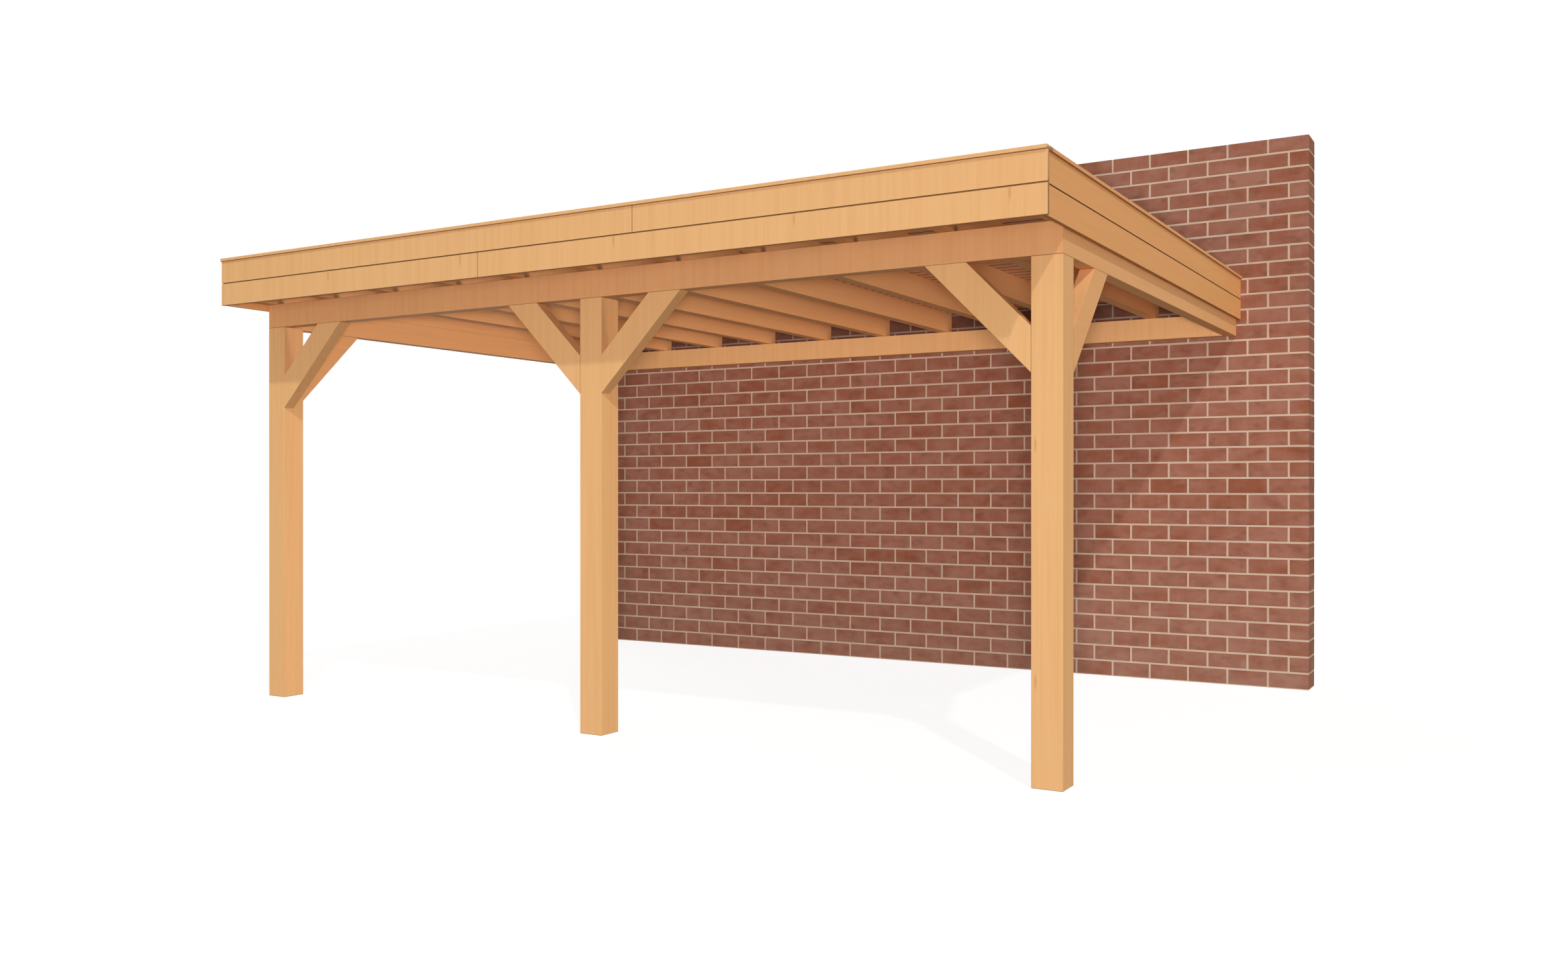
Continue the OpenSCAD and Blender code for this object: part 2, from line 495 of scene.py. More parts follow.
@dataclass(frozen=True)
class TimberFinish(Finish):
    """Planed softwood under a clear oil: matt, honey coloured, with faint bars along the fibres.

    The eye sees an even warm face, soft darker bars a few centimetres wide, fine fibre lines, now and
    then a short dark knot, and dark end grain where pieces meet. Painted shade darkens the undersides,
    seams and V joints, the rafters' seats on the front beam and the rafter tails. The fibre lines are
    drawn coarser than real ones, which would be too fine to show.
    """

    fibre: Fibre = Fibre.UPRIGHT
    bars: Pattern = Pattern(width=26.0, length=900.0, detail=2.0, low=0.35, high=0.75, share=0.3)
    lines: Pattern = Pattern(width=5.0, length=260.0, detail=1.0, low=0.3, high=0.8, share=0.13)
    # Colour of the end grain and of the dark lines where pieces meet; it also paints shade on undersides,
    # seams, V joints and the fascia's outer ends
    end_grain_and_painted_shade: str = "#6E3F20"
    end_grain_and_painted_shade_share: float = 0.68
    # Knots of the front timber, and painted shade where the rafters sit on the front beam
    knot_and_painted_shade: str = "#BC804B"
    knot_and_painted_shade_pitch: float = 1005.0
    knot_and_painted_shade_place: tuple[float, float] = (2394.0, 452.0)
    knot_and_painted_shade_size: tuple[float, float] = (9.0, 46.0)
    knot_and_painted_shade_heart: float = 0.1
    knot_and_painted_shade_share: float = 0.0
    # Painted shade on the rafter tails in front of the tail line
    painted_tail_colour: str = "#A87848"
    tail_line: float = -60.0
    tail_blend: float = 20.0
    painted_tail_share: float = 0.0

    def knots_and_painted_shade(self, tree: Tree) -> Socket:
        """Share of the knots, and of the painted shade at the rafters' seats, which repeat at one pitch
        along the face and up the height.

        The distance to the nearest one is counted in their sizes. The share is full up to the heart
        of one and falls softly to none at a distance of 1.

        Args:
            tree: Node tree of the material.

        Returns:
            Socket with the share.
        """
        x, y, z = self.axes(tree)
        level = y if self.fibre is Fibre.SIDEWAYS else x
        away = {}
        for axis, value in enumerate((level, z)):
            start, size = self.knot_and_painted_shade_place[axis] * MM, self.knot_and_painted_shade_size[axis] * MM
            moved = add_node(tree, "Math", {0: value, 1: start}, operation="SUBTRACT").outputs[0]
            folds = {0: moved, 1: self.knot_and_painted_shade_pitch / 2 * MM}
            near = add_node(tree, "Math", folds, operation="PINGPONG").outputs[0]
            away[axis] = add_node(tree, "Math", {0: near, 1: size}, operation="DIVIDE").outputs[0]
        offset = add_node(tree, "CombineXYZ", away).outputs[0]
        distance = add_node(tree, "VectorMath", {0: offset}, operation="LENGTH").outputs["Value"]
        rim = {"From Min": 1.0, "From Max": self.knot_and_painted_shade_heart, "To Max": self.knot_and_painted_shade_share}
        inputs = {"Value": distance, **rim}
        return add_node(tree, "MapRange", inputs, interpolation_type="SMOOTHSTEP").outputs[0]

    def painted_tail_shade(self, tree: Tree) -> Socket:
        """Share of painted shade on the rafter tails: full in front of the tail line, none behind it.

        Args:
            tree: Node tree of the material.

        Returns:
            Socket with the share.
        """
        depth = self.axes(tree)[1]
        ends = {"From Min": self.tail_line * MM, "From Max": (self.tail_line - self.tail_blend) * MM}
        inputs = {"Value": depth, **ends, "To Max": self.painted_tail_share}
        return add_node(tree, "MapRange", inputs, interpolation_type="SMOOTHSTEP").outputs[0]

    def build(self) -> Material:
        """Makes the node material.

        Returns:
            The material.
        """
        material, tree = new_material(self.name)
        lines = self.lines.noise(tree, self.fibre)
        shares = {0: self.bars.shown(tree, self.bars.noise(tree, self.fibre))}
        shares[1] = self.lines.shown(tree, lines)
        layers = [(add_node(tree, "Math", shares, operation="ADD").outputs[0], self.shade)]
        if self.knot_and_painted_shade_share:
            layers.append((self.knots_and_painted_shade(tree), self.knot_and_painted_shade))
        if self.painted_tail_share:
            layers.append((self.painted_tail_shade(tree), self.painted_tail_colour))
        # The joint values are the dark lines where pieces meet and the painted shade
        joint = add_node(tree, "Attribute", {}, attribute_name="joint").outputs["Fac"]
        ends = add_node(tree, "Math", {0: joint, 1: self.end_grain_and_painted_shade_share}, operation="MULTIPLY").outputs[0]
        layers.append((ends, self.end_grain_and_painted_shade))
        self.surface(tree, layers, lines)
        return material


@dataclass(frozen=True)
class BrickFinish(Finish):
    """Machine-pressed red clay brick: a dry matt face, each brick burnt a little differently.

    The eye sees soft clouds of red, rose and brown that change from brick to brick, faint upright
    drags, a thin dark arris along the top edge, and grey dust near the ground.
    """

    relief: float = 0.5
    pale: str = "#A57261"
    rose: Pattern = Pattern(width=120.0, length=70.0, detail=2.0, low=0.2, high=0.8, share=0.8)
    burn: Pattern = Pattern(width=84.0, length=49.0, detail=1.0, low=0.5, high=0.8, share=0.45)
    drag: Pattern = Pattern(width=16.0, length=90.0, detail=2.0, share=0.4)
    arris_start: float = 0.88
    arris_share: float = 0.5
    dust: str = "#A08E80"
    splash_height: float = 1100.0
    splash_share: float = 0.3

    def arris(self, tree: Tree) -> Socket:
        """Share of the dark line along the top edge, by a brick's own height from -1 to 1.

        Args:
            tree: Node tree of the material.

        Returns:
            Socket with the share.
        """
        spot = add_node(tree, "Attribute", {}, attribute_name="spot").outputs["Vector"]
        height = add_node(tree, "SeparateXYZ", {"Vector": spot}).outputs["Z"]
        inputs = {"Value": height, "From Min": self.arris_start, "To Max": self.arris_share}
        return add_node(tree, "MapRange", inputs, interpolation_type="SMOOTHSTEP").outputs[0]

    def splash(self, tree: Tree, patches: Socket) -> Socket:
        """Share of grey dust that rain throws up from the ground, in patches that thin out upwards.

        Args:
            tree: Node tree of the material.
            patches: Noise that breaks the dust up.

        Returns:
            Socket with the share of dust.
        """
        ends = {"From Min": self.splash_height * MM, "From Max": 0.0, "To Max": self.splash_share}
        inputs = {"Value": self.axes(tree)[2], **ends}
        thick = add_node(tree, "MapRange", inputs, interpolation_type="SMOOTHSTEP").outputs[0]
        return add_node(tree, "Math", {0: thick, 1: patches}, operation="MULTIPLY").outputs[0]

    def build(self) -> Material:
        """Makes the node material.

        Returns:
            The material.
        """
        material, tree = new_material(self.name)
        rose, burn, drag = (
            pattern.noise(tree, Fibre.UPRIGHT) for pattern in (self.rose, self.burn, self.drag)
        )
        clouds = self.rose.shown(tree, rose)
        drags = add_node(tree, "Math", {0: drag, 1: self.drag.share}, operation="MULTIPLY").outputs[0]
        tone = add_node(tree, "Attribute", {}, attribute_name="tone").outputs["Fac"]
        for part in (drags, tone):
            clouds = add_node(tree, "Math", {0: clouds, 1: part}, operation="ADD").outputs[0]
        darks = {0: self.burn.shown(tree, burn), 1: self.arris(tree)}
        dark = add_node(tree, "Math", darks, operation="MAXIMUM").outputs[0]
        layers = [(clouds, self.pale), (dark, self.shade), (self.splash(tree, rose), self.dust)]
        self.surface(tree, layers, drag)
        return material


@dataclass(frozen=True)
class BlottedFinish(Finish):
    """Plain matt material with soft blotches and grit, for mortar and rubber sheet."""

    relief: float = 0.6
    blotches: Pattern = Pattern(width=120.0, length=120.0, detail=3.0)
    grit: Pattern = Pattern(width=6.0, length=6.0, detail=2.0)
    grit_lift: float = 0.5

    def build(self) -> Material:
        """Makes the node material.

        Returns:
            The material.
        """
        material, tree = new_material(self.name)
        blotches = self.blotches.noise(tree, Fibre.UPRIGHT)
        grit = self.grit.noise(tree, Fibre.UPRIGHT)
        lifted = add_node(tree, "Math", {0: grit, 1: self.grit_lift}, operation="ADD").outputs[0]
        share = add_node(tree, "Math", {0: blotches, 1: lifted}, operation="MULTIPLY").outputs[0]
        self.surface(tree, [(share, self.shade)], grit)
        return material


# Larch of the front pieces, whose figure stands upright, with a short brown knot now and then
FRONT_TIMBER = TimberFinish("oiled_larch_upright", "#F4BF86", "#E4A86C", 0.62, knot_and_painted_shade_share=0.42)
# Larch of the side pieces, a little redder, whose figure runs back to the wall
SIDE_TIMBER = TimberFinish("oiled_larch_side", "#F3B275", "#E5A266", 0.62, fibre=Fibre.SIDEWAYS)
# Larch of the front beam, redder and a little darker than the rest
BEAM_TIMBER = TimberFinish("oiled_larch_heartwood", "#EDB17B", "#DE9C63", 0.62)
# Larch of the rafters, side beams and side braces, with painted shade where rafters sit on the front
# beam and on the rafter tails in front of it
RAFTER_TIMBER = TimberFinish(
    "oiled_larch_rafters",
    "#F6BA81",
    "#E8AA72",
    0.62,
    fibre=Fibre.SIDEWAYS,
    # Painted shade where each rafter sits on the front beam
    knot_and_painted_shade="#3A2012",
    knot_and_painted_shade_pitch=8000.0,
    knot_and_painted_shade_place=(-40.0, 2410.0),
    knot_and_painted_shade_size=(42.0, 30.0),
    knot_and_painted_shade_share=0.62,
    # Painted shade on the rafter tails
    painted_tail_share=0.4,
)
# Boards with painted shade in their V joints
DECK_TIMBER = TimberFinish(
    "planed_spruce_boards",
    "#F0B588",
    "#E0A176",
    0.68,
    fibre=Fibre.FRONTWAYS,
    end_grain_and_painted_shade="#3C1E0E",
    end_grain_and_painted_shade_share=0.9,
)
# Facing brick, red to rose, with painted shade on the strip of wall under the roof between the rafters
BRICK = BrickFinish("pressed_red_brick", "#935740", "#744839", 0.85, painted_attic_share=0.56)
# Lime and sand mortar, struck almost flush: pale, warm grey and gritty, with painted shade on the strip
# of wall under the roof. The grit is drawn coarser than real sand, which would be too fine to show.
MORTAR = BlottedFinish("lime_sand_mortar", "#D8BFAC", "#C9AE9A", 0.9, painted_attic_share=0.52)
# Rubber roofing sheet with a dull bloom and dried dust in its low places
RUBBER = BlottedFinish(
    "rubber_roofing_sheet",
    "#26262A",
    "#3C3B3A",
    0.6,
    sheen=0.3,
    relief=0.2,
    blotches=Pattern(width=300.0, length=300.0, detail=3.0),
    grit=Pattern(width=8.0, length=8.0, detail=2.0),
)


# Sub-assemblies


@dataclass
class SubAssembly:
    """Pieces that are built and dressed together."""

    pieces: list[Piece] = field(default_factory=list, init=False)

    def add(self, name: str, shape: Surface, *nodes: str) -> None:
        """Puts a surface into the scene as a piece that stands for CAD nodes.

        Args:
            name: Name of the piece.
            shape: Its surface.
            *nodes: CAD nodes that it stands for.
        """
        mesh = bpy.data.meshes.new(name)
        mesh.from_pydata(shape.points.tolist(), [], shape.faces)
        number = (sum(map(ord, name)) * PIECE_STEP) % 1.0 * PIECE_NUMBERS
        values = {"piece": np.full(len(shape.points), number), **shape.values}
        for key, value in values.items():
            kind, socket = ("FLOAT", "value") if value.ndim == 1 else ("FLOAT_VECTOR", "vector")
            attribute = mesh.attributes.new(key, kind, "POINT")
            attribute.data.foreach_set(socket, value.astype(np.float32).ravel())
        mesh.update()
        piece = bpy.data.objects.new(name, mesh)
        bpy.context.scene.collection.objects.link(piece)
        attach(piece, BODY)
        if nodes:
            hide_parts(*nodes)
        self.pieces.append(piece)

    def build(self) -> None:
        """Makes the meshes."""
        raise NotImplementedError

    def dress(self, materials: Materials) -> None:
        """Gives the pieces their materials."""
        raise NotImplementedError

    def coat(self, pieces: list[Piece], material: Material, slot: Slot) -> None:
        """Gives pieces one material, and logs them.

        Args:
            pieces: Pieces to coat.
            material: Their material.
            slot: Slot of the record that it belongs to; not used.
        """
        for piece in pieces:
            piece.data.materials.append(material)
            log.info("%s: %d faces, %s", piece.name, len(piece.data.polygons), material.name)


@dataclass
class Posts(SubAssembly):
    """Three square posts."""

    radius: float = 2.0
    nodes: tuple[str, ...] = ("post_left", "post_middle", "post_right")

    def build(self) -> None:
        """Makes each post as a bar that stands in its node's box."""
        for node in self.nodes:
            self.add("planed_" + node, straight_bar(node, Fibre.UPRIGHT, self.radius), node)

    def dress(self, materials: Materials) -> None:
        """Gives the posts upright timber."""
        self.coat(self.pieces, materials[FRONT_TIMBER.name], Slot.PLANED)


@dataclass
class RingBeam(SubAssembly):
    """Front and side beams, mitred at the front corners, and the plate on the wall."""

    radius: float = 2.0

    def side_beam(self, side: Side) -> Surface:
        """Side beam, cut at 45 degrees where it meets the front beam.

        Args:
            side: Side of the veranda.

        Returns:
            The beam as a closed surface.
        """
        low, high = node_box(f"side_beam_{side.name.lower()}")
        size = (high - low) / MM
        outline = bar_outline(size[0], size[2], self.radius)
        return timber_length(
            outline,
            Lie.along_side(low, high, side),
            size[1] * MM,
            start_cut=MITRE_START,
            # Painted shade on the underside
            painted_shade=painted_underside_shade(outline, self.radius, PAINTED_UNDERSIDE_SHADE),
            painted_face_shades=(np.zeros(len(outline)), None),
        )

    def build(self) -> None:
        """Makes the front beam with a mitre at both ends, the side beams and the plate."""
        low, high = node_box("front_beam")
        size = (high - low) / MM
        outline = bar_outline(size[1], size[2], self.radius)
        beam = timber_length(
            outline,
            Lie.along_front(low),
            size[0] * MM,
            start_cut=MITRE_START,
            end_cut=MITRE_END,
            # Painted shade on the underside
            painted_shade=painted_underside_shade(outline, self.radius, PAINTED_UNDERSIDE_SHADE),
            painted_face_shades=(np.zeros(len(outline)),) * 2,
        )
        self.add("planed_front_beam", beam, "front_beam")
        # The plate has painted shade on its underside
        plate = straight_bar("wall_plate", Fibre.FRONTWAYS, self.radius, underside=PAINTED_UNDERSIDE_SHADE)
        self.add("planed_wall_plate", plate, "wall_plate")
        for side in Side:
            node = f"side_beam_{side.name.lower()}"
            self.add("planed_" + node, self.side_beam(side), node)

    def dress(self, materials: Materials) -> None:
        """Gives the front beam its redder larch, the plate upright figure and the side beams sideways
        figure.

        Args:
            materials: All materials by name.
        """
        beam, plate, *sides = self.pieces
        self.coat([beam], materials[BEAM_TIMBER.name], Slot.PLANED)
        self.coat([plate], materials[FRONT_TIMBER.name], Slot.PLANED)
        self.coat(sides, materials[RAFTER_TIMBER.name], Slot.PLANED)


@dataclass
class Braces(SubAssembly):
    """Six braces at 45 degrees, cut to the posts and to the underside of the ring beam."""

    depth: float = 140.0
    radius: float = 2.0

    def brace(self, node: str, run: Array, across: Array) -> Surface:
        """Brace that rises along a level direction, away from its post.

        Args:
            node: CAD node of the brace.
            run: Level direction from the post.
            across: Level direction across the brace.

        Returns:
            The brace as a closed surface.
        """
        low, high = node_box(node)
        leg = high[2] - low[2]
        width = abs(across @ (high - low)) / MM
        corner = np.where(run + across < 0, high, low)
        corner[2] = low[2]
        lie = Lie(corner, (run + Z_AXIS) / math.sqrt(2), across, (Z_AXIS - run) / math.sqrt(2))
        outline = bar_outline(width, self.depth, self.radius)
        # Painted shade on the brace's underside
        painted_shade = painted_underside_shade(outline, self.radius, PAINTED_UNDERSIDE_SHADE)
        return timber_length(outline, lie, leg * math.sqrt(2), BRACE_FOOT, BRACE_HEAD, painted_shade=painted_shade)

    def build(self) -> None:
        """Makes four braces in the front plane and one in each side plane."""
        runs = {
            "brace_left_front": X_AXIS,
            "brace_middle_left": -X_AXIS,
            "brace_middle_right": X_AXIS,
            "brace_right_front": -X_AXIS,
            "brace_left_side": Y_AXIS,
            "brace_right_side": Y_AXIS,
        }
        for node, run in runs.items():
            across = Y_AXIS if run[0] else X_AXIS
            self.add("planed_" + node, self.brace(node, run, across), node)

    def dress(self, materials: Materials) -> None:
        """Gives the front braces upright figure and the side braces sideways figure.

        Args:
            materials: All materials by name.
        """
        *fronts, left, right = self.pieces
        self.coat(fronts, materials[FRONT_TIMBER.name], Slot.PLANED)
        self.coat([left, right], materials[RAFTER_TIMBER.name], Slot.PLANED)


@dataclass
class Rafters(SubAssembly):
    """Rafters from the front fascia back to the wall, with the packings beside the edge rafters."""

    count: int = 11
    radius: float = 2.0
    packing_radius: float = 0.8

    def build(self) -> None:
        """Makes each rafter and packing as a bar in its node's box."""
        for number in range(1, self.count + 1):
            node = f"rafter_{number:02d}"
            # Painted shade on each rafter's underside
            bar = straight_bar(node, Fibre.SIDEWAYS, self.radius, underside=PAINTED_UNDERSIDE_SHADE)
            self.add("planed_" + node, bar, node)
        for side in Side:
            node = f"fascia_packing_{side.name.lower()}"
            radius = self.packing_radius
            # Full painted shade on each packing's underside
            bar = straight_bar(node, Fibre.SIDEWAYS, radius, radius, underside=FULL_PAINTED_SHADE)
            self.add("sawn_" + node, bar, node)

    def dress(self, materials: Materials) -> None:
        """Gives the rafters and packings sideways timber."""
        self.coat(self.pieces, materials[RAFTER_TIMBER.name], Slot.PLANED)


@dataclass
class RoofDeck(SubAssembly):
    """Boards along the front, with a V joint on the underside, and the kerbs that stand on them."""

    board_width: float = 98.0
    joint_gap: float = 0.8
    joint_bevel: float = 6.0
    # Width of the painted shade beside each V joint's bevel
    joint_painted_shade: float = 3.0
    kerb_radius: float = 1.5

    def boards(self) -> Surface:
        """All boards as one surface: one eased section, carried along X at each board's place in Y.

        Returns:
            The boards as one surface.
        """
        low, high = node_box("roof_deck")
        size = (high - low) / MM
        count = round(size[1] / self.board_width)
        pitch = size[1] / count
        width, bevel = pitch - self.joint_gap, self.joint_bevel
        clean = bevel + self.joint_painted_shade
        corners = [(0, bevel), (bevel, 0), (clean, 0), (width - clean, 0), (width - bevel, 0)]
        corners += [(width, bevel), (width, size[2]), (0, size[2])]
        outline = np.array(corners) * MM
        # Painted shade in each V joint: on the bevel and a little beside it
        inward = np.minimum(outline[:, 0], width * MM - outline[:, 0])
        painted_darkness = np.where(inward < clean * MM - SAME_POINT, FULL_PAINTED_SHADE, 0.0)
        board = timber_length(outline, Lie.along_front(low), size[0] * MM)
        rings = board.points.reshape(1, 2 * len(END_LINE), -1, 3)
        places = np.arange(count)[:, None, None, None] * pitch * MM * Y_AXIS
        deck = lofted(rings + places, turned=False)
        numbers = np.random.default_rng(SEED).uniform(0, PIECE_NUMBERS, count)
        deck.values["piece"] = np.repeat(numbers, rings[..., 0].size)
        deck.values["joint"] = np.tile(painted_darkness, count * 2 * len(END_LINE))
        return deck

    def build(self) -> None:
        """Makes the boards and the three kerbs."""
        self.add("v_jointed_roof_boards", self.boards(), "roof_deck")
        kerb = straight_bar("kerb_front", Fibre.FRONTWAYS, self.kerb_radius)
        self.add("sawn_kerb_front", kerb, "kerb_front")
        for side in Side:
            node = f"kerb_{side.name.lower()}"
            self.add("sawn_" + node, straight_bar(node, Fibre.SIDEWAYS, self.kerb_radius), node)

    def dress(self, materials: Materials) -> None:
        """Gives the boards and kerbs their timber.

        Args:
            materials: All materials by name.
        """
        boards, front, *sides = self.pieces
        self.coat([boards], materials[DECK_TIMBER.name], Slot.BOARDS)
        self.coat([front], materials[DECK_TIMBER.name], Slot.PLANED)
        self.coat(sides, materials[SIDE_TIMBER.name], Slot.PLANED)


@dataclass
class Fascia(SubAssembly):
    """Two rows of lapped boards round the roof edge, and the trims that cap them."""

    thickness: float = 20.0
    cover: float = 130.0
    groove: float = 5.0
    lip: float = 10.0
    lip_room: float = 1.0
    edge: float = 1.5
    back_edge: float = 1.0
    lap_edge: float = 0.5
    end_ease: float = 0.9
    trim_radius: float = 3.0

    def lower_outline(self) -> Array:
        """Section of a lower board, outer face on 0, with a lip at the back that the upper one covers.

        Returns:
            Points of the outline, in metres.
        """
        face = self.cover - self.groove / 2
        top = self.cover + self.groove / 2 + self.lip
        half = self.thickness / 2
        corners = [(0, 0), (self.thickness, 0), (self.thickness, top), (half, top), (half, face), (0, face)]
        radii = [self.edge, self.back_edge, self.lap_edge, self.lap_edge, 0, self.edge]
        return eased_outline(corners, radii)

    def upper_outline(self) -> Array:
        """Section of an upper board, outer face on 0, rebated at the back; its lowest point is on 0.

        Returns:
            Points of the outline, in metres.
        """
        step = self.lip + self.lip_room
        top = self.cover - self.groove / 2
        half = self.thickness / 2
        corners = [(0, 0), (half, 0), (half, step), (self.thickness, step), (self.thickness, top), (0, top)]
        radii = [self.edge, self.lap_edge, 0, self.lap_edge, self.back_edge, self.back_edge]
        return eased_outline(corners, radii)

    def painted_seam_shade(self, outline: Array) -> Array:
        """Outline points underneath and in the groove between the rows, which get painted shade.

        Args:
            outline: Section of a lower or an upper board.

        Returns:
            True for each point with painted shade.
        """
        height = outline[:, 1] / MM
        dark = height < self.edge / 2
        if height.max() > self.cover:
            dark |= height > self.cover - self.groove / 2 - self.edge / 2
        return dark

    def painted_end_shade(self, outline: Array) -> Array:
        """Painted shade on a front piece's end: none at its face, full at the back, in the corner by the
        side piece.
        """
        return outline[:, 0] / outline[:, 0].max()

    def front_board(self, node: str, side: Side, outline: Array) -> Surface:
        """Board along one half of the front, in its node's box. It meets the other half at a dark line.

        Args:
            node: CAD node of the board.
            side: Half of the front.
            outline: Its section.

        Returns:
            The board as a closed surface.
        """
        low, high = node_box(node)
        # The outer end gets painted shade, darkest at the back by the side board
        painted_darkness = self.painted_end_shade(outline)
        return timber_length(
            outline,
            Lie.along_front(low),
            high[0] - low[0],
            ease=self.end_ease,
            painted_shade=self.painted_seam_shade(outline),
            painted_face_shades=(painted_darkness, None) if side is Side.LEFT else (None, painted_darkness),
        )

    def side_board(self, node: str, side: Side, outline: Array) -> Surface:
        """Board along a side, in its node's box.

        Args:
            node: CAD node of the board.
            side: Side of the veranda.
            outline: Its section.

        Returns:
            The board as a closed surface.
        """
        low, high = node_box(node)
        lie = Lie.along_side(low, high, side)
        # Painted shade under the board and in the groove between the rows
        painted_shade = self.painted_seam_shade(outline)
        return timber_length(outline, lie, high[1] - low[1], ease=self.end_ease, painted_shade=painted_shade)

    def front_trim(self) -> Surface:
        """Trim along the front, with painted shade underneath where it meets the upper boards and on its
        ends, darkest at the back.

        Returns:
            The trim as a closed surface.
        """
        low, high = node_box("trim_front")
        size = (high - low) / MM
        outline = bar_outline(size[1], size[2], self.trim_radius)
        under = painted_underside_shade(outline, self.trim_radius, FULL_PAINTED_SHADE)
        painted_end_darkness = (self.painted_end_shade(outline),) * 2
        return timber_length(outline, Lie.along_front(low), size[0] * MM, painted_shade=under, painted_face_shades=painted_end_darkness)

    def build(self) -> None:
        """Makes the front boards and trim first, then those of the two sides."""
        outlines = {"lower": self.lower_outline(), "upper": self.upper_outline()}
        for row, outline in outlines.items():
            for side in Side:
                node = f"front_fascia_{row}_{side.name.lower()}"
                self.add("lapped_" + node, self.front_board(node, side, outline), node)
        self.add("eased_trim_front", self.front_trim(), "trim_front")
        for side in Side:
            word = side.name.lower()
            for row, outline in outlines.items():
                node = f"{word}_fascia_{row}"
                self.add("lapped_" + node, self.side_board(node, side, outline), node)
            node = f"trim_{word}"
            # Full painted shade on the side trim's underside
            trim = straight_bar(node, Fibre.SIDEWAYS, self.trim_radius, underside=FULL_PAINTED_SHADE)
            self.add("eased_" + node, trim, node)

    def dress(self, materials: Materials) -> None:
        """Gives the front pieces upright figure and the side pieces sideways figure.

        Args:
            materials: All materials by name.
        """
        fronts = [piece for piece in self.pieces if "front" in piece.name]
        sides = [piece for piece in self.pieces if piece not in fronts]
        self.coat(fronts, materials[FRONT_TIMBER.name], Slot.FASCIA)
        self.coat(sides, materials[SIDE_TIMBER.name], Slot.FASCIA)


@dataclass
class RoofSheet(SubAssembly):
    """Rubber sheet over the boards, turned up the kerbs and the wall."""

    thickness: float = 3.0
    fillet: float = 14.0
    fillet_points: int = 5
    lean: float = 0.6
    ripple: float = 0.9
    ripple_length: float = 640.0
    ripple_ways: tuple[tuple[float, float], tuple[float, float]] = ((1.0, 0.4), (-0.2, 0.7))
    cells: int = 56

    def half_profile(self, rise: float) -> Array:
        """Distance from the edge and height of the sheet: down the upstand, then round a fillet.

        Args:
            rise: Height of the upstand above the sheet, in millimetres.

        Returns:
            Points (distance, height), in millimetres.
        """
        turn = np.linspace(0, math.pi / 2, self.fillet_points)
        start = self.thickness + self.lean
        curve = np.stack([start + self.fillet * (1 - np.cos(turn)), self.fillet * (1 - np.sin(turn))], 1)
        return np.concatenate([[(0, rise), (self.thickness, rise)], curve])

    def span(self, length: float, rise: float) -> Array:
        """Positions and heights across the whole sheet, from one upstand to the other.

        Args:
            length: Outer length, in millimetres.
            rise: Height of the upstands, in millimetres.

        Returns:
            Points (position, height), in millimetres.
        """
        half = self.half_profile(rise)
        far = half[::-1] * (-1, 1) + (length, 0)
        inner = np.linspace(half[-1, 0], far[0, 0], self.cells + 2)[1:-1]
        return np.concatenate([half, np.stack([inner, np.zeros(self.cells)], 1), far])

    def build(self) -> None:
        """Makes the sheet as a grid of x and y.

        The height is the larger of the two upstand profiles, plus a ripple of two crossing sine waves
        that dies away at the edges. A skirt and a flat underside close the grid.
        """
        low, high = node_box("roof_membrane")
        size = (high - low) / MM
        rise = size[2] - self.thickness
        wide, deep = self.span(size[0], rise), self.span(size[1], rise)
        x, y = np.meshgrid(wide[:, 0], deep[:, 0], indexing="ij")
        step = np.maximum(*np.meshgrid(wide[:, 1], deep[:, 1], indexing="ij"))
        wave = 2 * math.pi / self.ripple_length
        first, second = (np.sin(wave * (along * x + back * y)) for along, back in self.ripple_ways)
        calm = np.minimum(np.minimum(x, size[0] - x), np.minimum(y, size[1] - y)) / self.ripple_length
        height = self.thickness + step + self.ripple * (1 + first * second) * np.clip(calm, 0, 1)
        top = low + np.stack([x, y, height], -1) * MM
        index = np.arange(x.size).reshape(x.shape)
        quads = np.stack([index[:-1, :-1], index[1:, :-1], index[1:, 1:], index[:-1, 1:]], -1)
        rim = np.concatenate([index[:-1, 0], index[-1, :-1], index[:0:-1, -1], index[0, :0:-1]])
        below = top.reshape(-1, 3)[rim] * (1, 1, 0) + (0, 0, low[2])
        under = x.size + np.arange(len(rim))
        skirt = np.stack([rim, under, np.roll(under, -1), np.roll(rim, -1)], -1)
        faces = quads.reshape(-1, 4).tolist() + skirt.tolist() + [under[::-1].tolist()]
        points = np.concatenate([top.reshape(-1, 3), below])
        self.add("rubber_roof_sheet", Surface(points, faces), "roof_membrane")

    def dress(self, materials: Materials) -> None:
        """Gives the sheet its rubber."""
        self.coat(self.pieces, materials[RUBBER.name], Slot.ROOFING)


